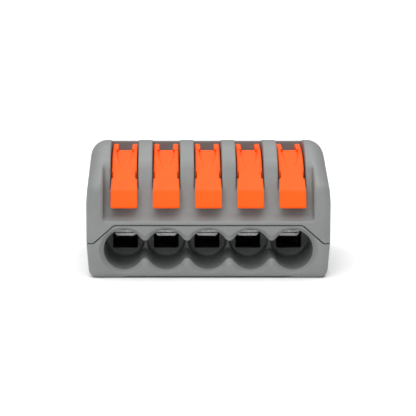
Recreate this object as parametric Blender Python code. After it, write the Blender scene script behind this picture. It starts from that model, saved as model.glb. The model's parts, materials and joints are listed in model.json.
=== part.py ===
"""Five-pole lever wire connector.

Each pole has a round wire entry at the front, a lever on top and a cage clamp inside: lifting the lever
turns a cam that presses the clamp leg down and opens the cage under the busbar.

X runs along the row of poles, the wire entries face -Y, and Z points up from the surface it stands on.
Dimensions are in millimetres. "Depth" is measured back from the front face and "height" up from the feet.
"""

import math

import bmesh
import bpy

MM = 0.001

# Whole connector
POLES = 5
PITCH = 4.8
WIDTH = 27.8
DEPTH = 20.5
HEIGHT = 14.5
ARC_STEP = math.radians(15)
BEYOND = 3.0  # how far a cutter runs past the body

# Housing
FRONT_SLOPE_START = 10.6  # height where the front face and the front slope would meet
CREST = (8.22, 14.784)  # where the front slope and the flatter top would meet
CREST_RADIUS = 7.08
TOP_END = 12.76  # height where the top and the rear face would meet
REAR_RADIUS = 7.0
SIDE_TAPER = 0.35  # how much narrower each side is at the top
FOOT_TAPER = 0.55  # how much narrower each side is at the bottom
TAPER_START = 8.5
SEAM_GAP = 0.08
SEAM_HEIGHT = 6.06
SEAM_HALF = 10.7  # half length of the raised part of the seam
SEAM_SIDE = (13.1, 3.95)
FOOT_HEIGHT = 0.13
FOOT_INNER = 9.5
REAR_WALL = 1.3
FLOOR = 0.85

# Wire entries
BORE_HEIGHT = 3.22
BORE_RADIUS = 2.28
BORE_DEPTH = 8.4
MOUTH_RADIUS = 2.72
MOUTH_DEPTH = 0.43
NECK_HALF_HEIGHT = 1.05
NECK_HALF_WIDTH = 0.62
NECK_DEPTH = 6.5
WINDOW_HALF = 1.445
WINDOW_LOW = 1.9
WINDOW_HIGH = 3.95
WINDOW_WALL = 0.55

# Lever
CHANNEL_HALF = 1.58  # half width of the slot that a lever and its clamp work in
LEVER_HALF = 1.46
TAB_HALF = 1.53
NOTCH_HALF = 1.27  # half width of the lever between its two side notches
NOTCH = (3.1, 4.15)
SCOOP_HALF = 0.8
CROSSBAR_REAR = 9.6
ARM = 0.68
PIVOT = (12.2, 11.9)
CHEEK_RADIUS = 1.75
CAM_REACH = 2.95
CAM_RADIUS = 0.35
TRUNNION_RADIUS = 0.8
TRUNNION_LENGTH = 0.55
TRUNNION_GAP = 0.15
LEVER_OPEN = 90.0
BRIDGE_FRONT = 14.4
BRIDGE_LOW = 12.5
RECESS_HALF = 11.95

# Cage clamp and busbar
STRIP = 0.4
STRIP_HALF = 1.35
BEND = (16.4, 8.2)  # centre of the bend that the clamp leg flexes about
BEND_GAP = 0.3
CLAMP_TRAVEL = 18.0
CAGE_DEPTH = 9.45
CAGE_FOOT = 3.15
CAGE_SILL = 3.9
CAGE_LINTEL = 8.6
CAGE_HALF = 1.0
FOOT_CHAMFER = 0.3
FIXED_LEG_HEIGHT = 5.1
FIXED_LEG_FRONT = 12.3
BUSBAR_LOW = 4.15
BUSBAR_HIGH = 4.75
BUSBAR_FRONT = 12.3
BUSBAR_REAR = 15.1
BUSBAR_HALF = 11.1
TONGUE_FRONT = 9.12
TONGUE_HALF = 0.8

POLE_CENTRES = [(pole - (POLES - 1) / 2) * PITCH for pole in range(POLES)]


# ---------------------------------------------------------------- outlines

def fillet(before, corner, after, radius):
    """Points of the arc that rounds one corner of an outline."""
    ax, ay = before[0] - corner[0], before[1] - corner[1]
    bx, by = after[0] - corner[0], after[1] - corner[1]
    a_length, b_length = math.hypot(ax, ay), math.hypot(bx, by)
    ax, ay, bx, by = ax / a_length, ay / a_length, bx / b_length, by / b_length
    half = math.acos(max(-1.0, min(1.0, ax * bx + ay * by))) / 2
    tangent = radius / math.tan(half)
    centre_distance = radius / math.sin(half)
    mid_x, mid_y = ax + bx, ay + by
    mid_length = math.hypot(mid_x, mid_y)
    centre_x = corner[0] + mid_x / mid_length * centre_distance
    centre_y = corner[1] + mid_y / mid_length * centre_distance
    start = math.atan2(corner[1] + ay * tangent - centre_y, corner[0] + ax * tangent - centre_x)
    end = math.atan2(corner[1] + by * tangent - centre_y, corner[0] + bx * tangent - centre_x)
    turn = (end - start + math.pi) % (2 * math.pi) - math.pi
    steps = max(2, math.ceil(abs(turn) / ARC_STEP))
    angles = [start + turn * step / steps for step in range(steps + 1)]
    return [(centre_x + radius * math.cos(a), centre_y + radius * math.sin(a)) for a in angles]


def rounded(corners):
    """A closed outline from (across, up) or (across, up, radius) corners."""
    points = []
    for i, corner in enumerate(corners):
        radius = corner[2] if len(corner) > 2 else 0
        if radius:
            points += fillet(corners[i - 1], corner, corners[(i + 1) % len(corners)], radius)
        else:
            points.append(corner[:2])
    return points


def circle(centre, radius, segments):
    """A closed round outline."""
    angles = [2 * math.pi * i / segments for i in range(segments)]
    return [(centre[0] + radius * math.cos(a), centre[1] + radius * math.sin(a)) for a in angles]


def thick_line(line, thickness):
    """Closed outline of a bent strip with its centre on the line's points."""
    left, right = [], []
    for i, (x, y) in enumerate(line):
        before = line[max(i - 1, 0)]
        after = line[min(i + 1, len(line) - 1)]
        dx, dy = after[0] - before[0], after[1] - before[1]
        length = math.hypot(dx, dy)
        turn = 1.0
        if 0 < i < len(line) - 1:
            in_x, in_y = x - before[0], y - before[1]
            turn = (in_x * dx + in_y * dy) / (math.hypot(in_x, in_y) * length)
        offset = thickness / 2 / turn
        left.append((x - dy / length * offset, y + dx / length * offset))
        right.append((x + dy / length * offset, y - dx / length * offset))
    return left + right[::-1]


# ---------------------------------------------------------------- solids

def solid(name, mesh_data):
    """An object from a bmesh whose coordinates are (x, depth, height) in millimetres."""
    for vertex in mesh_data.verts:
        x, depth, height = vertex.co
        vertex.co = (x * MM, (depth - DEPTH / 2) * MM, height * MM)
    bmesh.ops.recalc_face_normals(mesh_data, faces=mesh_data.faces)
    mesh = bpy.data.meshes.new(name)
    mesh_data.to_mesh(mesh)
    mesh_data.free()
    made = bpy.data.objects.new(name, mesh)
    bpy.context.scene.collection.objects.link(made)
    return made


def prism(name, first_loop, second_loop):
    """A closed solid between two loops that have the same number of points."""
    mesh_data = bmesh.new()
    first = [mesh_data.verts.new(point) for point in first_loop]
    second = [mesh_data.verts.new(point) for point in second_loop]
    mesh_data.faces.new(first)
    mesh_data.faces.new(second[::-1])
    for i in range(len(first)):
        j = (i + 1) % len(first)
        mesh_data.faces.new((first[i], second[i], second[j], first[j]))
    return solid(name, mesh_data)


def along_x(name, outline, low, high):
    """A (depth, height) outline extruded across the connector."""
    return prism(name, [(low, d, h) for d, h in outline], [(high, d, h) for d, h in outline])


def along_depth(name, outline, low, high):
    """An (x, height) outline extruded from front to back."""
    return prism(name, [(x, low, h) for x, h in outline], [(x, high, h) for x, h in outline])


def along_height(name, outline, low, high):
    """An (x, depth) outline extruded upwards."""
    return prism(name, [(x, d, low) for x, d in outline], [(x, d, high) for x, d in outline])


def block(name, x, depth, height):
    """A box from three (low, high) pairs."""
    corners = [(x[0], height[0]), (x[1], height[0]), (x[1], height[1]), (x[0], height[1])]
    return along_depth(name, corners, *depth)


def turned(name, centre_x, centre_height, profile, segments):
    """A solid turned about a line that runs front to back, from (depth, radius) pairs."""
    mesh_data = bmesh.new()
    rings = []
    for depth, radius in profile:
        outline = circle((centre_x, centre_height), radius, segments)
        rings.append([mesh_data.verts.new((x, depth, h)) for x, h in outline])
    mesh_data.faces.new(rings[0])
    mesh_data.faces.new(rings[-1][::-1])
    for ring, following in zip(rings, rings[1:]):
        for i in range(segments):
            j = (i + 1) % segments
            mesh_data.faces.new((ring[i], following[i], following[j], ring[j]))
    return solid(name, mesh_data)


def combine(target, tool, operation):
    """Applies one Boolean to the target and removes the tool."""
    modifier = target.modifiers.new(operation.title(), "BOOLEAN")
    modifier.operation = operation
    modifier.solver = "EXACT"
    modifier.object = tool
    bpy.context.view_layer.update()
    graph = bpy.context.evaluated_depsgraph_get()
    before = target.data
    target.data = bpy.data.meshes.new_from_object(target.evaluated_get(graph))
    target.modifiers.clear()
    target.data.name = target.name
    bpy.data.meshes.remove(before)
    bpy.data.objects.remove(tool)


def cut(target, tool):
    combine(target, tool, "DIFFERENCE")


def add(target, tool):
    combine(target, tool, "UNION")


def keep(target, tool):
    combine(target, tool, "INTERSECT")


def set_origin(target, depth, height, x):
    """Puts the object's origin on its joint axis without moving its shape."""
    origin = (x * MM, (depth - DEPTH / 2) * MM, height * MM)
    for vertex in target.data.vertices:
        vertex.co = (vertex.co.x - origin[0], vertex.co.y - origin[1], vertex.co.z - origin[2])
    target.location = origin


def finish(target, material):
    """Gives the object its material and shades its round stretches smooth."""
    target.data.materials.clear()
    target.data.materials.append(material)
    target.data.shade_smooth()
    target.data.set_sharp_from_angle(angle=math.radians(35))


def new_material(name, colour, roughness, metallic):
    material = bpy.data.materials.new(name)
    material.use_nodes = True
    shader = material.node_tree.nodes["Principled BSDF"]
    shader.inputs["Base Color"].default_value = (*colour, 1.0)
    shader.inputs["Roughness"].default_value = roughness
    shader.inputs["Metallic"].default_value = metallic
    return material


# ---------------------------------------------------------------- housing

def outer_body(name):
    """The whole outside of the connector: its side, front and top outlines intersected."""
    side = rounded([
        (0, 0, 0.5),
        (0, FRONT_SLOPE_START, 1.4),
        (*CREST, CREST_RADIUS),
        (DEPTH, TOP_END, REAR_RADIUS),
        (DEPTH, 0, 0.5),
    ])
    half = WIDTH / 2
    top_half = half - SIDE_TAPER
    foot_half = half - FOOT_TAPER
    front = rounded([
        (-foot_half, 0, 1.2),
        (foot_half, 0, 1.2),
        (half, SEAM_SIDE[1]),
        (half, TAPER_START),
        (top_half, HEIGHT + 0.05, 1.6),
        (-top_half, HEIGHT + 0.05, 1.6),
        (-half, TAPER_START),
        (-half, SEAM_SIDE[1]),
    ])
    plan = rounded([(-half, 0, 0.7), (half, 0, 0.7), (half, DEPTH, 1.5), (-half, DEPTH, 1.5)])
    body = along_x(name, side, -half - BEYOND, half + BEYOND)
    keep(body, along_depth("front_outline", front, -BEYOND, DEPTH + BEYOND))
    keep(body, along_height("top_outline", plan, -BEYOND, HEIGHT + BEYOND))
    return body


def seam_outline(offset, edge_height):
    """The seam between the two housings, closed at edge_height above or below the connector."""
    side = WIDTH / 2 + BEYOND
    return [
        (-side, edge_height),
        (-side, SEAM_SIDE[1] + offset),
        (-SEAM_SIDE[0], SEAM_SIDE[1] + offset),
        (-SEAM_HALF, SEAM_HEIGHT + offset),
        (SEAM_HALF, SEAM_HEIGHT + offset),
        (SEAM_SIDE[0], SEAM_SIDE[1] + offset),
        (side, SEAM_SIDE[1] + offset),
        (side, edge_height),
    ]


def make_base(material):
    """Lower housing: wire entries, chambers for the clamps, a seat for the busbar and two feet."""
    base = outer_body("wire_entry_base")
    lower = seam_outline(-SEAM_GAP / 2, -BEYOND)
    keep(base, along_depth("lower_part", lower, -BEYOND, DEPTH + BEYOND))
    rear = DEPTH - REAR_WALL
    above = SEAM_HEIGHT + BEYOND
    chamber_front = BORE_DEPTH + WINDOW_WALL
    for x in POLE_CENTRES:
        mouth = [
            (-BEYOND, MOUTH_RADIUS),
            (0, MOUTH_RADIUS),
            (MOUTH_DEPTH, BORE_RADIUS),
            (BORE_DEPTH, BORE_RADIUS),
        ]
        cut(base, turned("bore", x, BORE_HEIGHT, mouth, 32))
        window = (BORE_DEPTH - 0.5, chamber_front + 0.5)
        cut(base, block("window", (x - WINDOW_HALF, x + WINDOW_HALF), window, (WINDOW_LOW, WINDOW_HIGH)))
        channel = (x - CHANNEL_HALF, x + CHANNEL_HALF)
        cut(base, block("chamber", channel, (chamber_front, rear), (FLOOR, above)))
    for x in POLE_CENTRES[:-1]:
        middle = x + PITCH / 2
        across = (middle - NECK_HALF_WIDTH, middle + NECK_HALF_WIDTH)
        upright = (BORE_HEIGHT - NECK_HALF_HEIGHT, BORE_HEIGHT + NECK_HALF_HEIGHT)
        cut(base, block("neck", across, (-BEYOND, NECK_DEPTH), upright))
    seat = (BUSBAR_FRONT - 0.15, BUSBAR_REAR + 0.15)
    seat_half = BUSBAR_HALF + 0.15
    cut(base, block("busbar_seat", (-seat_half, seat_half), seat, (BUSBAR_LOW - 0.1, above)))
    relief = (-BEYOND, DEPTH + BEYOND)
    cut(base, block("relief", (-FOOT_INNER, FOOT_INNER), relief, (-BEYOND, FOOT_HEIGHT)))
    finish(base, material)


def lever_slot():
    """Outline of the slot that a lever lies and turns in, with the clamp's chamber below it."""
    rear = DEPTH - REAR_WALL
    return [
        (-BEYOND, HEIGHT + BEYOND),
        (-BEYOND, 7.5),
        (1.15, 7.5),
        (2.15, 9.4),
        (2.9, 9.9),
        (5.7, 11.35),
        (8.45, 11.95),
        (8.45, SEAM_HEIGHT - BEYOND),
        (rear, SEAM_HEIGHT - BEYOND),
        (rear, 7.3),
        (19.0, 8.5),
        (18.0, 10.4),
        (16.6, 11.9),
        (15.7, BRIDGE_LOW),
        (BRIDGE_FRONT, BRIDGE_LOW),
        (BRIDGE_FRONT, HEIGHT + BEYOND),
    ]


def make_upper_housing(material):
    """Upper housing: finger recess, a slot for each lever and holes for the levers' trunnions."""
    upper = outer_body("upper_housing")
    higher = seam_outline(SEAM_GAP / 2, HEIGHT + BEYOND)
    keep(upper, along_depth("upper_part", higher, -BEYOND, DEPTH + BEYOND))
    recess = rounded([
        (-BEYOND, HEIGHT + BEYOND),
        (-BEYOND, 6.62),
        (0.35, 6.62, 0.4),
        (1.6, 7.3, 1.2),
        (4.0, 12.7),
        (4.0, HEIGHT + BEYOND),
    ])
    cut(upper, along_x("recess", recess, -RECESS_HALF, RECESS_HALF))
    for x in POLE_CENTRES:
        cut(upper, along_x("slot", lever_slot(), x - CHANNEL_HALF, x + CHANNEL_HALF))
    holes = circle(PIVOT, TRUNNION_RADIUS + TRUNNION_GAP, 20)
    hole_end = POLE_CENTRES[-1] + LEVER_HALF + TRUNNION_LENGTH + TRUNNION_GAP
    cut(upper, along_x("trunnion_holes", holes, -hole_end, hole_end))
    finish(upper, material)


# ---------------------------------------------------------------- levers

def handle_outline():
    """Side view of the lever's handle, closed: a steep finger tab, then a plate that rises to the crossbar."""
    return rounded([
        (0.3, 8.05, 0.2),
        (1.2, 9.9, 0.5),
        (6.0, 12.79, 5.0),
        (8.8, 13.55, 5.0),
        (CROSSBAR_REAR, 13.56),
        (CROSSBAR_REAR, 12.45),
        (8.6, 12.3),
        (5.6, 11.6, 3.0),
        (2.75, 10.1, 0.6),
        (1.95, 9.55),
        (1.0, 7.82, 0.2),
    ])


def tab_outline():
    """Side view of the finger tab, which is slightly wider than the rest of the lever."""
    return rounded([
        (0.3, 8.05, 0.2),
        (1.2, 9.9, 0.5),
        (NOTCH[0], 11.05),
        (NOTCH[0], 10.28),
        (2.75, 10.1, 0.3),
        (1.95, 9.55),
        (1.0, 7.82, 0.2),
    ])


def arm_outline():
    """Side view of one arm: from under the handle to the round cheek about the pivot."""
    above = math.radians(94)
    below = math.radians(-112)
    steps = 14
    turn = (below - above) / steps
    cheek = [above + turn * step for step in range(steps + 1)]
    round_end = [
        (PIVOT[0] + CHEEK_RADIUS * math.cos(a), PIVOT[1] + CHEEK_RADIUS * math.sin(a)) for a in cheek
    ]
    front = CROSSBAR_REAR - 0.3
    return [(front, 12.42), (front, 13.54)] + round_end


def cam_outline():
    """Side view of the cam nose behind the cheek. Turned down, it presses on the clamp leg."""
    nose = (PIVOT[0] + CAM_REACH, PIVOT[1])
    quarter = math.pi / 2
    steps = 8
    tip = [-quarter + math.pi * step / steps for step in range(steps + 1)]
    end = [(nose[0] + CAM_RADIUS * math.cos(a), nose[1] + CAM_RADIUS * math.sin(a)) for a in tip]
    return [(PIVOT[0], PIVOT[1] - 1.45)] + end + [(PIVOT[0], PIVOT[1] + 1.2)]


def make_lever(pole, x, material):
    """One lever: handle, two arms with cheeks and cams, and a trunnion on each side."""
    lever = along_x(f"lever_{pole}", handle_outline(), x - LEVER_HALF, x + LEVER_HALF)
    scoop = [(5.2, 12.33), (CROSSBAR_REAR + 0.2, 13.376), (CROSSBAR_REAR + 0.2, HEIGHT), (5.2, HEIGHT)]
    cut(lever, along_x("scoop", scoop, x - SCOOP_HALF, x + SCOOP_HALF))
    add(lever, along_x("tab", tab_outline(), x - TAB_HALF, x + TAB_HALF))
    trunnion = circle(PIVOT, TRUNNION_RADIUS, 20)
    for side in (-1, 1):
        inner, outer = sorted((side * (LEVER_HALF - ARM), side * LEVER_HALF))
        add(lever, along_x("arm", arm_outline(), x + inner, x + outer))
        add(lever, along_x("cam", cam_outline(), x + inner, x + outer))
        root, end = sorted((side * (LEVER_HALF - ARM / 2), side * (LEVER_HALF + TRUNNION_LENGTH)))
        add(lever, along_x("trunnion", trunnion, x + root, x + end))
        inner, outer = sorted((side * NOTCH_HALF, side * (TAB_HALF + 0.1)))
        cut(lever, block("notch", (x + inner, x + outer), NOTCH, (BRIDGE_LOW - BEYOND, HEIGHT)))
    set_origin(lever, *PIVOT, x)
    finish(lever, material)


# ---------------------------------------------------------------- metal parts

def make_busbar(material):
    """One copper bar shared by all poles, with a tongue into each cage."""
    bar = block(
        "busbar", (-BUSBAR_HALF, BUSBAR_HALF), (BUSBAR_FRONT, BUSBAR_REAR), (BUSBAR_LOW, BUSBAR_HIGH)
    )
    for x in POLE_CENTRES:
        tongue = rounded([
            (x - TONGUE_HALF, TONGUE_FRONT, 0.25),
            (x + TONGUE_HALF, TONGUE_FRONT, 0.25),
            (x + TONGUE_HALF, BUSBAR_FRONT + 0.5),
            (x - TONGUE_HALF, BUSBAR_FRONT + 0.5),
        ])
        add(bar, along_height("tongue", tongue, BUSBAR_LOW, BUSBAR_HIGH))
    finish(bar, material)


def make_spring_loop(pole, x, material):
    """The fixed leg of the clamp spring on the busbar and the loop that rises behind it."""
    radius = (BEND[1] - FIXED_LEG_HEIGHT) / 2
    centre = (BEND[0], FIXED_LEG_HEIGHT + radius)
    steps = 12
    turn = math.pi - math.asin(BEND_GAP / 2 / radius)
    angles = [-math.pi / 2 + turn * step / steps for step in range(steps + 1)]
    loop = [(centre[0] + radius * math.cos(a), centre[1] + radius * math.sin(a)) for a in angles]
    line = [(FIXED_LEG_FRONT, FIXED_LEG_HEIGHT)] + loop
    strip = along_x(f"spring_loop_{pole}", thick_line(line, STRIP), x - STRIP_HALF, x + STRIP_HALF)
    finish(strip, material)


def make_clamp_leg(pole, x, material):
    """The moving leg of the clamp spring: it rises from the bend and hangs down as a cage in front."""
    slope = math.tan(math.radians(CLAMP_TRAVEL))
    rear = BEND[0] - BEND_GAP / 2
    corner = (CAGE_DEPTH, BEND[1] + (BEND[0] - CAGE_DEPTH) * slope)
    start = (rear, BEND[1] + (BEND[0] - rear) * slope)
    line = [start] + fillet(start, corner, (CAGE_DEPTH, CAGE_FOOT), 0.6) + [(CAGE_DEPTH, CAGE_FOOT)]
    leg = along_x(f"clamp_leg_{pole}", thick_line(line, STRIP), x - STRIP_HALF, x + STRIP_HALF)
    through = (CAGE_DEPTH - 1, CAGE_DEPTH + 1)
    cut(leg, block("cage_window", (x - CAGE_HALF, x + CAGE_HALF), through, (CAGE_SILL, CAGE_LINTEL)))
    for side in (-1, 1):
        edge = x + side * STRIP_HALF
        corner_outline = [
            (edge - side * FOOT_CHAMFER, CAGE_FOOT - 0.1),
            (edge + side * 0.1, CAGE_FOOT + FOOT_CHAMFER),
            (edge + side * 0.1, CAGE_FOOT - 0.1),
        ]
        cut(leg, along_depth("foot_corner", corner_outline, *through))
    set_origin(leg, *BEND, x)
    finish(leg, material)


def main():
    for old in list(bpy.data.objects):
        bpy.data.objects.remove(old)
    grey = new_material("grey_polyamide", (0.27, 0.28, 0.28), 0.5, 0.0)
    orange = new_material("orange_polyamide", (0.95, 0.13, 0.015), 0.4, 0.0)
    tin = new_material("tinned_copper", (0.62, 0.61, 0.58), 0.35, 1.0)
    steel = new_material("spring_steel", (0.5, 0.5, 0.5), 0.3, 1.0)
    make_base(grey)
    make_upper_housing(grey)
    make_busbar(tin)
    for pole, x in enumerate(POLE_CENTRES, start=1):
        make_lever(pole, x, orange)
        make_spring_loop(pole, x, steel)
        make_clamp_leg(pole, x, steel)


main()
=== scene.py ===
"""Looks of the five-pole lever wire connector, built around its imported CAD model.

Each piece is described by a signed distance in millimetres, negative inside the plastic or metal, with a true
radius at every edge and corner. A fine mesh is then laid on the surface where that distance is zero.
"d" is the depth behind the front face and "h" the height above the surface that the connector stands on.
"""
import json
import math

import bpy
import numpy as np
from mathutils import Matrix, Vector

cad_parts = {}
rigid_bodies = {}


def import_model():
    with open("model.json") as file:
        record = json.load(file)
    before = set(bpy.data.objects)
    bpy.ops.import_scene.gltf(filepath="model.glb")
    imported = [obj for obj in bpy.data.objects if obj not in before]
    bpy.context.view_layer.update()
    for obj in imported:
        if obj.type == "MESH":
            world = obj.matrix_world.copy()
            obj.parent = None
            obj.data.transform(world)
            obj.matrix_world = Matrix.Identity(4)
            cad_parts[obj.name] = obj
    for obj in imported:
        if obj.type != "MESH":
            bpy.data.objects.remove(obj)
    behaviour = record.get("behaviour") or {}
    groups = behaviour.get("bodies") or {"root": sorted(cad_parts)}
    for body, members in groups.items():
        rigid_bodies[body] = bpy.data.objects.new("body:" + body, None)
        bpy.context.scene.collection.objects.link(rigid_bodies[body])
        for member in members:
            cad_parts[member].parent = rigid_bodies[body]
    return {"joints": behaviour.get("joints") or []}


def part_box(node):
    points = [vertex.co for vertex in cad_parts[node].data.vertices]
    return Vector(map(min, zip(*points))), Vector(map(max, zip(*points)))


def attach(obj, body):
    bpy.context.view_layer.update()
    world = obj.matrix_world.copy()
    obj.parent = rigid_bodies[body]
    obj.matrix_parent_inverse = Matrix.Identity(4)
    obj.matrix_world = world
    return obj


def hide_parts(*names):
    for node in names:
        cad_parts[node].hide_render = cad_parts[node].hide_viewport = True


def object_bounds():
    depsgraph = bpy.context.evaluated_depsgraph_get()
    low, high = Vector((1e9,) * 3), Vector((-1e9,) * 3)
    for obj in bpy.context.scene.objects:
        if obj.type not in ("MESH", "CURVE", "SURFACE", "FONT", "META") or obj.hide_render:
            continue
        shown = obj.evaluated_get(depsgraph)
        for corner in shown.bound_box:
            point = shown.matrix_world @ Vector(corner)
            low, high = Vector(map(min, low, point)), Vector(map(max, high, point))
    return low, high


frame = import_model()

MM = 0.001
CAD_LOW, CAD_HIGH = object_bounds()
JOINTS = {joint["name"]: joint for joint in frame["joints"]}
POLES = sum(name.startswith("lever_") for name in JOINTS)


def in_mm(point):
    """A point of the frame in metres, as (x, depth, height) in millimetres."""
    return point[0] / MM, (point[1] - CAD_LOW.y) / MM, (point[2] - CAD_LOW.z) / MM


WIDTH = (CAD_HIGH.x - CAD_LOW.x) / MM
DEPTH = (CAD_HIGH.y - CAD_LOW.y) / MM
HEIGHT = (CAD_HIGH.z - CAD_LOW.z) / MM
PIVOT = in_mm(JOINTS["lever_1_hinge"]["pos_m"])[1:]
BEND = in_mm(JOINTS["clamp_1_bend"]["pos_m"])[1:]
CENTRES = [in_mm(JOINTS[f"lever_{pole}_hinge"]["pos_m"])[0] for pole in range(1, POLES + 1)]
PITCH = CENTRES[1] - CENTRES[0]
CLAMP_TRAVEL = math.radians(JOINTS["clamp_1_bend"]["range_deg"][1])

# Housing
SIDE_ROUND = (0.95, 1.8)
SIDE_LEAN = (0.08, 0.07)
LEAN_START = 8.5
ROUND_RISE = 4.0
SEAM_GAP = 0.08
SEAM_HEIGHT = 6.06
SEAM_HALF = 10.7
SEAM_SIDE = (13.1, 3.95)
REAR_WALL = 1.3
FLOOR = 0.85
BEYOND = 3.0
RECESS_HALF = 11.95
CHANNEL_HALF = 1.58
BRIDGE_FRONT = 14.4

# Wire entries
BORE_HEIGHT = 3.22
BORE_RADIUS = 2.28
BORE_DEPTH = 8.4
MOUTH_WIDTH = (0.36, 0.54)
MOUTH_DEPTH = 0.5
NECK_ROUND = 1.1
NECK_DEPTH = 6.5
WINDOW_HALF = 1.445
WINDOW = (1.9, 3.95)

# Levers
LEVER_HALF = 1.46
TAB_HALF = 1.53
ARM = 0.68
CHEEK_RADIUS = 1.75
CAM_REACH = 2.95
CAM_RADIUS = 0.35
TRUNNION_RADIUS = 0.8
TRUNNION_END = 2.01
CROSSBAR_REAR = 9.6
NOTCH_HALF = 1.27
NOTCH = (3.1, 4.15)
EDGE = 0.13

# Clamps and busbar
STRIP = 0.4
STRIP_HALF = 1.35
BEND_GAP = 0.3
CAGE_DEPTH = 9.45
CAGE = (3.15, 3.9, 8.6)
CAGE_HALF = 1.0
FOOT_CHAMFER = 0.3
FIXED_LEG = (12.3, 5.1)
BUSBAR = (4.15, 4.75)
BUSBAR_DEPTH = (12.3, 15.1)
BUSBAR_HALF = 11.1
TONGUE_FRONT = 9.12
TONGUE_HALF = 0.8


# ---------------------------------------------------------------- outlines

def arc(before, corner, after, radius):
    """Points of the arc that rounds one corner of an outline, closer together where it is large."""
    step = min(math.radians(6), 0.2 / radius)
    a = np.subtract(before, corner)
    b = np.subtract(after, corner)
    a, b = a / np.hypot(*a), b / np.hypot(*b)
    half = math.acos(max(-1.0, min(1.0, float(a @ b)))) / 2
    centre = corner + (a + b) / np.hypot(*(a + b)) * radius / math.sin(half)
    first, last = (corner + side * radius / math.tan(half) - centre for side in (a, b))
    start = math.atan2(first[1], first[0])
    turn = (math.atan2(last[1], last[0]) - start + math.pi) % (2 * math.pi) - math.pi
    angles = np.linspace(start, start + turn, max(3, math.ceil(abs(turn) / step) + 1))
    return [(centre[0] + radius * math.cos(t), centre[1] + radius * math.sin(t)) for t in angles]


def outline(*corners):
    """A closed outline from (across, up) or (across, up, radius) corners."""
    points = []
    for i, corner in enumerate(corners):
        if len(corner) > 2:
            before, after = corners[i - 1][:2], corners[(i + 1) % len(corners)][:2]
            points += arc(before, corner[:2], after, corner[2])
        else:
            points.append(corner)
    return points


# ---------------------------------------------------------------- distances

def polygon(points, u, v):
    """Distance from (u, v) to a closed outline."""
    nearest = np.inf
    inside = False
    for (au, av), (bu, bv) in zip(points, points[1:] + points[:1]):
        eu, ev = bu - au, bv - av
        along = np.clip(((u - au) * eu + (v - av) * ev) / (eu * eu + ev * ev), 0, 1)
        nearest = np.minimum(nearest, (u - au - eu * along) ** 2 + (v - av - ev * along) ** 2)
        if ev:
            inside ^= ((av > v) != (bv > v)) & (u < au + (v - av) * eu / ev)
    return np.where(inside, -1, 1) * np.sqrt(nearest)


def meet(a, b, radius=0.0):
    """What is inside both, with its edge rounded."""
    outer = np.hypot(np.maximum(a + radius, 0), np.maximum(b + radius, 0))
    return np.minimum(-radius, np.maximum(a, b)) + outer


def join(a, b, radius=0.0):
    """What is inside either, with a fillet between them."""
    return -meet(-a, -b, radius)


def cut(a, tool, radius=0.0):
    """What is left of a outside the tool, with its edge rounded."""
    return meet(a, -tool, radius)


def between(value, low, high):
    """Distance to the slab from low to high."""
    return np.abs(value - (low + high) / 2) - (high - low) / 2


def box(x, d, h, radius=0.0):
    """Distance to a box from (value, low, high) for each direction."""
    return meet(meet(between(*x), between(*d), radius), between(*h), radius)


def at_pole(x):
    """x measured from the middle of the nearest pole."""
    return x - PITCH * np.clip(np.round(x / PITCH), -(POLES - 1) / 2, (POLES - 1) / 2)


# ---------------------------------------------------------------- meshes

def grid_lines(low, high, step):
    return np.arange(low - 2 * step, high + 3 * step, step)


def surface_net(field, lines):
    """Vertices and quads of the surface where a field sampled on a grid is zero."""
    shape = tuple(n - 1 for n in field.shape)
    low = np.full(shape, np.inf, np.float32)
    high = np.full(shape, -np.inf, np.float32)
    corners = [(i, j, k) for i in (0, 1) for j in (0, 1) for k in (0, 1)]
    for i, j, k in corners:
        corner = field[i : i + shape[0], j : j + shape[1], k : k + shape[2]]
        low, high = np.minimum(low, corner), np.maximum(high, corner)
    cells = np.argwhere((low < 0) & (high >= 0))
    numbers = np.full(shape, -1, np.int64)
    numbers[tuple(cells.T)] = np.arange(len(cells))
    total = np.zeros((len(cells), 3))
    count = np.zeros(len(cells))
    for start in corners:
        for axis in range(3):
            if start[axis]:
                continue
            end = list(start)
            end[axis] = 1
            a_at, b_at = cells + start, cells + end
            a, b = field[tuple(a_at.T)], field[tuple(b_at.T)]
            crossing = (a < 0) != (b < 0)
            share = np.where(crossing, a / np.where(crossing, a - b, 1), 0)
            for k in range(3):
                a_place, b_place = lines[k][a_at[:, k]], lines[k][b_at[:, k]]
                total[:, k] += np.where(crossing, a_place + share * (b_place - a_place), 0)
            count += crossing
    points = total / count[:, None]
    quads = []
    for axis in range(3):
        one, two = (axis + 1) % 3, (axis + 2) % 3
        inner = [slice(1, -1)] * 3
        inner[axis] = slice(None)
        near = [slice(None)] * 3
        far = [slice(None)] * 3
        near[axis], far[axis] = slice(None, -1), slice(1, None)
        a, b = field[tuple(near)], field[tuple(far)]
        inner_a, inner_b = a[tuple(inner)], b[tuple(inner)]
        edges = np.argwhere((inner_a < 0) != (inner_b < 0))
        offset = np.ones(3, int)
        offset[axis] = 0
        edges = edges + offset
        outward = a[tuple(edges.T)] < 0
        around = []
        for step_one, step_two in ((-1, -1), (0, -1), (0, 0), (-1, 0)):
            cell = edges.copy()
            cell[:, one] += step_one
            cell[:, two] += step_two
            around.append(numbers[tuple(cell.T)])
        ring = np.stack(around, axis=1)
        ring[~outward] = ring[~outward][:, ::-1]
        quads.append(ring)
    return points, np.concatenate(quads)


def slope(distance, points, reach=0.01):
    """Value and unit gradient of a distance at some points."""
    x, d, h = points.T
    value = distance(x, d, h)
    steps = np.stack([
        distance(x + reach, d, h) - distance(x - reach, d, h),
        distance(x, d + reach, h) - distance(x, d - reach, h),
        distance(x, d, h + reach) - distance(x, d, h - reach),
    ], axis=1)
    length = np.linalg.norm(steps, axis=1)
    length[length == 0] = 1
    return value, steps / length[:, None]


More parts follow.
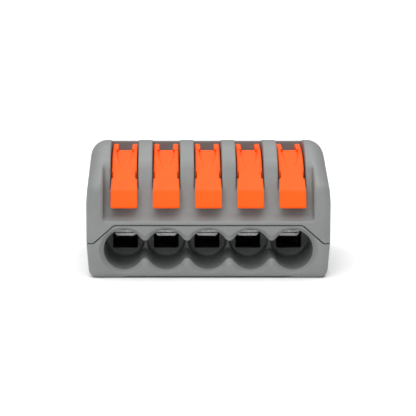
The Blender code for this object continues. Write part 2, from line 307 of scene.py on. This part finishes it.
def settle(mesh, distance, most):
    """Moves each vertex onto the exact surface and gives it that surface's normal."""
    points = np.empty(len(mesh.vertices) * 3, np.float32)
    mesh.vertices.foreach_get("co", points)
    points = points.reshape(-1, 3).astype(float)
    for _ in range(2):
        value, normal = slope(distance, points)
        points -= np.clip(value, -most, most)[:, None] * normal
    mesh.vertices.foreach_set("co", points.astype(np.float32).ravel())
    mesh.update()
    _, normal = slope(distance, points)
    mesh.shade_smooth()
    mesh.normals_split_custom_set_from_vertices([tuple(n) for n in normal])


def shape(name, distance, low, high, step, thin):
    """A mesh of one piece, in metres. "thin" is the share of the faces kept where the surface is smooth."""
    lines = [grid_lines(low[k], high[k], step) for k in range(3)]
    x, d, h = lines[0][:, None, None], lines[1][None, :, None], lines[2][None, None, :]
    field = np.broadcast_to(distance(x, d, h), [len(line) for line in lines]).astype(np.float32)
    points, quads = surface_net(field, lines)
    mesh = bpy.data.meshes.new(name)
    mesh.from_pydata(points.tolist(), [], quads.tolist())
    made = bpy.data.objects.new(name, mesh)
    bpy.context.scene.collection.objects.link(made)
    settle(mesh, distance, step)
    modifier = made.modifiers.new("thin", "DECIMATE")
    modifier.ratio = thin
    graph = bpy.context.evaluated_depsgraph_get()
    made.data = bpy.data.meshes.new_from_object(made.evaluated_get(graph))
    made.modifiers.clear()
    bpy.data.meshes.remove(mesh)
    settle(made.data, distance, step)
    made.data.name = name
    made.data.transform(Matrix.Translation((0, CAD_LOW.y, CAD_LOW.z)) @ Matrix.Scale(MM, 4))
    return made


# ---------------------------------------------------------------- materials

class Nodes:
    """Short calls for building one material's node tree."""

    def __init__(self, name):
        self.material = bpy.data.materials.new(name)
        self.material.use_nodes = True
        self.tree = self.material.node_tree
        self.shader = self.tree.nodes["Principled BSDF"]
        self.place = self.tree.nodes.new("ShaderNodeTexCoord").outputs["Object"]

    def link(self, source, target):
        self.tree.links.new(source, target)

    def noise(self, size, detail=3.0, stretch=(1, 1, 1)):
        """Noise whose features are about "size" millimetres wide."""
        mapping = self.tree.nodes.new("ShaderNodeMapping")
        mapping.inputs["Scale"].default_value = [s / (size * MM) for s in stretch]
        self.link(self.place, mapping.inputs["Vector"])
        noise = self.tree.nodes.new("ShaderNodeTexNoise")
        noise.inputs["Scale"].default_value = 1.0
        noise.inputs["Detail"].default_value = detail
        self.link(mapping.outputs["Vector"], noise.inputs["Vector"])
        return noise.outputs["Fac"]

    def span(self, value, low, high):
        """Maps a noise value from its usual 0.3 to 0.7 onto low to high."""
        node = self.tree.nodes.new("ShaderNodeMapRange")
        node.inputs["From Min"].default_value = 0.3
        node.inputs["From Max"].default_value = 0.7
        node.inputs["To Min"].default_value = low
        node.inputs["To Max"].default_value = high
        self.link(value, node.inputs["Value"])
        return node.outputs["Result"]

    def blend(self, factor, first, second):
        node = self.tree.nodes.new("ShaderNodeMix")
        node.data_type = "RGBA"
        node.inputs["A"].default_value = (*first, 1)
        node.inputs["B"].default_value = (*second, 1)
        self.link(factor, node.inputs["Factor"])
        return node.outputs["Result"]

    def bump(self, value, height, before=None):
        """A bump "height" millimetres deep."""
        node = self.tree.nodes.new("ShaderNodeBump")
        node.inputs["Distance"].default_value = height * MM
        self.link(value, node.inputs["Height"])
        if before:
            self.link(before, node.inputs["Normal"])
        return node.outputs["Normal"]


def moulded(name, dark, light, roughness, grain):
    """Moulded plastic: a fine eroded grain, slow waves from shrinkage and slightly uneven pigment."""
    nodes = Nodes(name)
    colour = nodes.blend(nodes.span(nodes.noise(3.5, 4), 0.0, 1.0), dark, light)
    nodes.link(colour, nodes.shader.inputs["Base Color"])
    nodes.link(nodes.span(nodes.noise(1.4), *roughness), nodes.shader.inputs["Roughness"])
    waves = nodes.bump(nodes.noise(5.0, 1), 0.02)
    nodes.link(nodes.bump(nodes.noise(0.16, 2), grain, waves), nodes.shader.inputs["Normal"])
    nodes.shader.inputs["Specular IOR Level"].default_value = 0.45
    return nodes.material


def metal(name, dark, light, roughness, stretch, scratch):
    """Rolled metal: fine lines along the strip and faint blotches."""
    nodes = Nodes(name)
    colour = nodes.blend(nodes.span(nodes.noise(0.8, 4), 0.0, 1.0), dark, light)
    nodes.link(colour, nodes.shader.inputs["Base Color"])
    lines = nodes.noise(0.06, 2, stretch)
    nodes.link(nodes.span(lines, *roughness), nodes.shader.inputs["Roughness"])
    nodes.link(nodes.bump(lines, scratch), nodes.shader.inputs["Normal"])
    nodes.shader.inputs["Metallic"].default_value = 1.0
    return nodes.material


GREY = moulded("grey_polyamide", (0.196, 0.206, 0.203), (0.214, 0.224, 0.221), (0.46, 0.56), 0.003)
ORANGE = moulded("orange_polyamide", (0.94, 0.097, 0.002), (0.97, 0.106, 0.003), (0.42, 0.52), 0.002)
ORANGE.node_tree.nodes["Principled BSDF"].inputs["Specular IOR Level"].default_value = 0.15
ORANGE.node_tree.nodes["Principled BSDF"].inputs["Subsurface Weight"].default_value = 0.1
ORANGE.node_tree.nodes["Principled BSDF"].inputs["Subsurface Scale"].default_value = 0.0004
ORANGE.node_tree.nodes["Principled BSDF"].inputs["Subsurface Radius"].default_value = (1.0, 0.3, 0.1)
TIN = metal("tinned_copper", (0.56, 0.55, 0.52), (0.68, 0.67, 0.64), (0.28, 0.42), (1, 0.05, 1), 0.0008)
STEEL = metal("spring_steel", (0.36, 0.36, 0.36), (0.44, 0.44, 0.44), (0.24, 0.36), (1, 0.04, 0.04), 0.0006)


# ---------------------------------------------------------------- housing

SIDE_OUTLINE = outline(
    (0, 0, 0.55), (0, 10.6, 1.4), (8.22, HEIGHT + 0.284, 7.08), (DEPTH, 12.76, 7.0), (DEPTH, 0, 0.55)
)
RECESS_OUTLINE = outline(
    (-BEYOND, 6.62), (0.35, 6.62, 0.4), (1.6, 7.3, 1.2), (4.0, 12.7), (4.0, 18), (-BEYOND, 18)
)
SLOT_OUTLINE = outline(
    (-BEYOND, 18), (-BEYOND, 7.5), (1.15, 7.5), (2.15, 9.4), (2.9, 9.9), (5.7, 11.35), (8.45, 11.75),
    (8.45, 3), (DEPTH - REAR_WALL, 3), (DEPTH - REAR_WALL, 7.3, 4.0), (16.6, 12.45, 1.0),
    (BRIDGE_FRONT, 12.5), (BRIDGE_FRONT, 18),
)
SEAM_OUTLINE = outline(
    (-40, 40), (-40, SEAM_SIDE[1]), (-SEAM_SIDE[0], SEAM_SIDE[1], 0.3), (-SEAM_HALF, SEAM_HEIGHT, 0.6),
    (SEAM_HALF, SEAM_HEIGHT, 0.6), (SEAM_SIDE[0], SEAM_SIDE[1], 0.3), (40, SEAM_SIDE[1]), (40, 40),
)


def outer_body(x, d, h):
    """The outside of both housings together: a side outline with leaning sides, rounder towards the top."""
    lean = SIDE_LEAN[0] * np.maximum(SEAM_SIDE[1] - h, 0) + SIDE_LEAN[1] * np.maximum(h - LEAN_START, 0)
    sides = np.abs(x) - (WIDTH / 2 - lean)
    upper = np.clip((h - LEAN_START) / ROUND_RISE, 0, 1)
    radius = SIDE_ROUND[0] + (SIDE_ROUND[1] - SIDE_ROUND[0]) * upper * upper * (3 - 2 * upper)
    return meet(polygon(SIDE_OUTLINE, d, h), sides, radius)


def upper_housing(x, d, h):
    seam = polygon(SEAM_OUTLINE, x, h) + SEAM_GAP / 2
    body = outer_body(x, d, h)
    recess = meet(polygon(RECESS_OUTLINE, d, h), np.abs(x) - RECESS_HALF, 0.35)
    body = cut(body, recess, 0.4)
    slot = meet(polygon(SLOT_OUTLINE, d, h), np.abs(at_pole(x)) - CHANNEL_HALF, 0.08)
    body = cut(body, slot, 0.16)
    holes = np.hypot(d - PIVOT[0], h - PIVOT[1]) - TRUNNION_RADIUS - 0.15
    body = cut(body, meet(holes, np.abs(x) - CENTRES[-1] - TRUNNION_END - 0.15), 0.05)
    return meet(body, seam, 0.07)


def mouths(x, h, radius, fillet):
    """Distance to the row of round wire entries, with fillets where neighbours join."""
    across = np.abs(at_pole(x))
    other = PITCH - across
    own = np.hypot(across, h - BORE_HEIGHT) - radius
    beside = np.hypot(other, h - BORE_HEIGHT) - radius
    last = (POLES - 1) / 2 * PITCH
    return np.where(np.abs(x) < last, join(own, beside, fillet), own)


def wire_entry_base(x, d, h):
    seam = -polygon(SEAM_OUTLINE, x, h) + SEAM_GAP / 2
    body = meet(outer_body(x, d, h), seam, 0.07)
    inner = np.hypot(at_pole(x), h - BORE_HEIGHT) - BORE_RADIUS
    body = cut(body, meet(inner, d - BORE_DEPTH, 0.3))
    open_front = mouths(x, h, BORE_RADIUS, NECK_ROUND)
    body = cut(body, meet(open_front, d - NECK_DEPTH, 0.3), 0.05)
    pole = at_pole(x)
    sideways = pole**2 / (pole**2 + (h - BORE_HEIGHT) ** 2 + 0.01)
    width = MOUTH_WIDTH[0] + (MOUTH_WIDTH[1] - MOUTH_WIDTH[0]) * sideways
    chamfer = (open_front - width * (1 - np.maximum(d, -1) / MOUTH_DEPTH)) * 0.7
    body = cut(body, chamfer, 0.03)
    channel = np.abs(pole) - CHANNEL_HALF
    window = box((pole, -WINDOW_HALF, WINDOW_HALF), (d, BORE_DEPTH - 0.5, 10), (h, *WINDOW), 0.03)
    body = cut(body, window, 0.04)
    chamber = meet(channel, box((x, -20, 20), (d, BORE_DEPTH + 0.55, DEPTH - REAR_WALL), (h, FLOOR, 9)), 0.1)
    body = cut(body, chamber, 0.08)
    seat_depth = (BUSBAR_DEPTH[0] - 0.15, BUSBAR_DEPTH[1] + 0.15)
    seat = box((x, -BUSBAR_HALF - 0.15, BUSBAR_HALF + 0.15), (d, *seat_depth), (h, BUSBAR[0] - 0.1, 9))
    body = cut(body, seat, 0.08)
    relief = meet(np.abs(x) - 9.5, h - 0.13, 0.1)
    return cut(body, relief, 0.1)


# ---------------------------------------------------------------- levers

HANDLE_OUTLINE = outline(
    (0.3, 8.05, 0.2), (1.2, 9.9, 0.8), (6.0, 12.79, 6.0), (8.8, 13.55, 8.0), (11.0, 13.6),
    (11.0, 12.5), (8.6, 12.3), (5.6, 11.6, 3.0), (2.75, 10.1, 0.6), (1.95, 9.55), (1.0, 7.82, 0.2),
)
ARM_OUTLINE = outline((9.3, 12.42), (8.8, 13.54), (12.15, 13.64), PIVOT, (11.54, 10.28))
CAM_OUTLINE = outline(
    (PIVOT[0], PIVOT[1] - 1.45), (PIVOT[0] + CAM_REACH, PIVOT[1] - CAM_RADIUS),
    (PIVOT[0] + CAM_REACH, PIVOT[1] + CAM_RADIUS), (PIVOT[0], PIVOT[1] + 1.2),
)
SCOOP_OUTLINE = outline((4.1, 11.78), (5.6, 12.33, 1.0), (12.0, 13.93), (12.0, 16), (4.1, 16))
NOTCH_DEEP = 0.4
SCOOP_HALF = (0.92, 7.3)


def lever(x, d, h):
    """A lever whose pole is at x = 0: handle, arms, cheeks, cams and trunnions in one moulding."""
    across = np.abs(x)
    narrowing = np.clip((d - 1.2) / (NOTCH[0] - 1.2), 0, 1) + 0.5 * (d > NOTCH[1])
    half = TAB_HALF - (TAB_HALF - LEVER_HALF) * np.minimum(narrowing, 1)
    side = polygon(HANDLE_OUTLINE, d, h)
    handle = meet(side, across - half, EDGE)
    handle = np.maximum(handle, meet(7.9 - h, across - half, 0.35))
    handle = meet(handle, d - CROSSBAR_REAR, 0.06)
    notch = meet(meet(NOTCH_HALF - across, between(d, *NOTCH), 0.04), -side - NOTCH_DEEP, 0.04)
    handle = cut(handle, notch, 0.03)
    half = np.maximum(SCOOP_HALF[0] - 0.032 * (d - SCOOP_HALF[1]) ** 2, LEVER_HALF - ARM)
    wall = (across - half - 0.35 * (h - 13.0)) * 0.94
    scoop = meet(polygon(SCOOP_OUTLINE, d, h), wall, 0.12)
    handle = cut(handle, scoop, 0.03)
    cheek = np.hypot(d - PIVOT[0], h - PIVOT[1]) - CHEEK_RADIUS
    nose = np.hypot(d - PIVOT[0] - CAM_REACH, h - PIVOT[1]) - CAM_RADIUS
    side = join(join(cheek, polygon(ARM_OUTLINE, d, h)), join(polygon(CAM_OUTLINE, d, h), nose))
    arms = meet(side, between(across, LEVER_HALF - ARM, LEVER_HALF), 0.18)
    whole = join(handle, arms, 0.02)
    trunnion = np.hypot(d - PIVOT[0], h - PIVOT[1]) - TRUNNION_RADIUS
    return join(whole, meet(trunnion, between(across, LEVER_HALF - 0.4, TRUNNION_END), 0.1), 0.08)


# ---------------------------------------------------------------- metal parts

def strip_outline(line, thickness):
    """Closed outline of a bent strip with its centre on the line's points."""
    line = np.array(line)
    ahead = np.gradient(line, axis=0)
    ahead /= np.linalg.norm(ahead, axis=1)[:, None]
    aside = np.stack([-ahead[:, 1], ahead[:, 0]], axis=1) * thickness / 2
    return [tuple(p) for p in line + aside] + [tuple(p) for p in (line - aside)[::-1]]


def dense(points, step=0.25):
    """The same line with points at most a step apart."""
    found = [points[0]]
    for a, b in zip(points, points[1:]):
        pieces = max(1, math.ceil(math.dist(a, b) / step))
        found += [tuple(np.add(a, np.subtract(b, a) * i / pieces)) for i in range(1, pieces + 1)]
    return found


def clamp_line():
    """Centre line of the moving leg: up from the bend, then down in front as the cage."""
    rise = math.tan(CLAMP_TRAVEL)
    rear = (BEND[0] - BEND_GAP / 2, BEND[1] + BEND_GAP / 2 * rise)
    corner = (CAGE_DEPTH, BEND[1] + (BEND[0] - CAGE_DEPTH) * rise)
    foot = (CAGE_DEPTH, CAGE[0])
    return dense([rear] + arc(rear, corner, foot, 0.6) + [foot])


def loop_line():
    """Centre line of the fixed leg and of the loop that rises behind it."""
    radius = (BEND[1] - FIXED_LEG[1]) / 2
    turn = math.pi - math.asin(BEND_GAP / 2 / radius)
    angles = np.linspace(-math.pi / 2, turn - math.pi / 2, 40)
    middle = FIXED_LEG[1] + radius
    loop = [(BEND[0] + radius * math.cos(a), middle + radius * math.sin(a)) for a in angles]
    return dense([FIXED_LEG] + loop)


CLAMP_OUTLINE = strip_outline(clamp_line(), STRIP)
LOOP_OUTLINE = strip_outline(loop_line(), STRIP)


def clamp_leg(x, d, h):
    across = np.abs(x)
    lip = 0.05 * np.clip((CAGE[0] + 0.45 - h) / 0.1, 0, 1) * (d < CAGE_DEPTH)
    leg = meet(polygon(CLAMP_OUTLINE, d, h) - lip, across - STRIP_HALF, 0.08)
    window = meet(meet(across - CAGE_HALF, between(h, CAGE[1], CAGE[2]), 0.2), d - CAGE_DEPTH - 1)
    leg = cut(leg, window, 0.05)
    corner = (across - STRIP_HALF + FOOT_CHAMFER + CAGE[0] - h) * math.sqrt(0.5)
    return meet(leg, np.where(h < CAGE[1], corner, -1.0), 0.04)


def spring_loop(x, d, h):
    return meet(polygon(LOOP_OUTLINE, d, h), np.abs(x) - STRIP_HALF, 0.08)


def busbar(x, d, h):
    bar = meet(between(d, *BUSBAR_DEPTH), np.abs(x) - BUSBAR_HALF, 0.2)
    tongues = meet(between(d, TONGUE_FRONT, BUSBAR_DEPTH[0] + 0.5), np.abs(at_pole(x)) - TONGUE_HALF, 0.2)
    return meet(join(bar, tongues, 0.25), between(h, *BUSBAR), 0.1)


# ---------------------------------------------------------------- pieces

def node_limits(node):
    """A CAD node's corners in millimetres."""
    low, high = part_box(node)
    return in_mm(low), in_mm(high)


def dress(piece, node, body, material):
    piece.data.materials.clear()
    piece.data.materials.append(material)
    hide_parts(node)
    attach(piece, body)


def single(node, distance, material, step, thin):
    """A piece that there is only one of."""
    low, high = node_limits(node)
    piece = shape(f"{node}_finished", distance, low, high, step, thin)
    dress(piece, node, "root", material)


def one_per_pole(node, body, distance, material, step, thin):
    """A piece of every pole. The poles share one mesh."""
    low, high = node_limits(f"{node}_1")
    low, high = (low[0] - CENTRES[0], *low[1:]), (high[0] - CENTRES[0], *high[1:])
    first = shape(f"{node}_1_finished", distance, low, high, step, thin)
    for pole, centre in enumerate(CENTRES, start=1):
        piece = first
        if pole > 1:
            piece = bpy.data.objects.new(f"{node}_{pole}_finished", first.data)
            bpy.context.scene.collection.objects.link(piece)
        piece.location.x = centre * MM
    for pole in range(1, POLES + 1):
        piece = bpy.data.objects[f"{node}_{pole}_finished"]
        dress(piece, f"{node}_{pole}", body.format(pole), material)


single("upper_housing", upper_housing, GREY, 0.12, 0.35)
single("wire_entry_base", wire_entry_base, GREY, 0.12, 0.35)
single("busbar", busbar, TIN, 0.1, 0.3)
one_per_pole("lever", "lever_{}", lever, ORANGE, 0.06, 0.4)
one_per_pole("clamp_leg", "clamp_{}", clamp_leg, STEEL, 0.07, 0.3)
one_per_pole("spring_loop", "root", spring_loop, STEEL, 0.08, 0.3)


# ---------------------------------------------------------------- surroundings

def make_floor():
    mesh = bpy.data.meshes.new("floor")
    corners = [(-4, -4), (4, -4), (4, 4), (-4, 4)]
    mesh.from_pydata([(x, y, CAD_LOW.z - 0.00002) for x, y in corners], [], [(0, 1, 2, 3)])
    floor = bpy.data.objects.new("floor", mesh)
    bpy.context.scene.collection.objects.link(floor)
    nodes = Nodes("pale_floor")
    nodes.shader.inputs["Base Color"].default_value = (0.93, 0.93, 0.93, 1)
    nodes.shader.inputs["Roughness"].default_value = 0.9
    nodes.shader.inputs["Specular IOR Level"].default_value = 0.2
    floor.data.materials.append(nodes.material)


def aim_light(light, place):
    """Puts a light somewhere, in metres, and turns it to the connector."""
    made = bpy.data.objects.new(light.name, light)
    bpy.context.scene.collection.objects.link(made)
    made.location = place
    made.rotation_euler = (Vector((0, 0, 0.007)) - Vector(place)).to_track_quat("-Z", "Y").to_euler()


def make_lights():
    """A wide soft sky light from above and behind, a large raised panel in front and pale surroundings."""
    above = bpy.data.lights.new("sky_panel", "SUN")
    above.angle = math.radians(80)
    above.energy = 2.75
    aim_light(above, (-0.04, 0.08, 1.0))
    front = bpy.data.lights.new("front_panel", "AREA")
    front.size = 0.35
    front.energy = 1.0
    aim_light(front, (-0.1, -0.4, 0.3))
    world = bpy.data.worlds.new("studio")
    world.use_nodes = True
    world.node_tree.nodes["Background"].inputs["Color"].default_value = (1, 1, 1, 1)
    world.node_tree.nodes["Background"].inputs["Strength"].default_value = 0.35
    bpy.context.scene.world = world


def make_camera():
    """A long lens 10 degrees above the level. The shift keeps the connector in the middle of the frame."""
    distance, elevation = 0.230, math.radians(10.0)
    data = bpy.data.cameras.new("camera")
    data.lens = 175.9
    data.sensor_width = 36.0
    data.clip_start = 0.01
    data.shift_x = 0.0913
    camera = bpy.data.objects.new("camera", data)
    bpy.context.scene.collection.objects.link(camera)
    level = CAD_LOW.y - distance * math.cos(elevation)
    camera.location = (-0.00436, level, 0.0081 + distance * math.sin(elevation))
    camera.rotation_euler = (math.pi / 2 - elevation, 0, 0)
    bpy.context.scene.camera = camera


make_floor()
make_lights()
make_camera()
bpy.context.scene.view_settings.view_transform = "Standard"
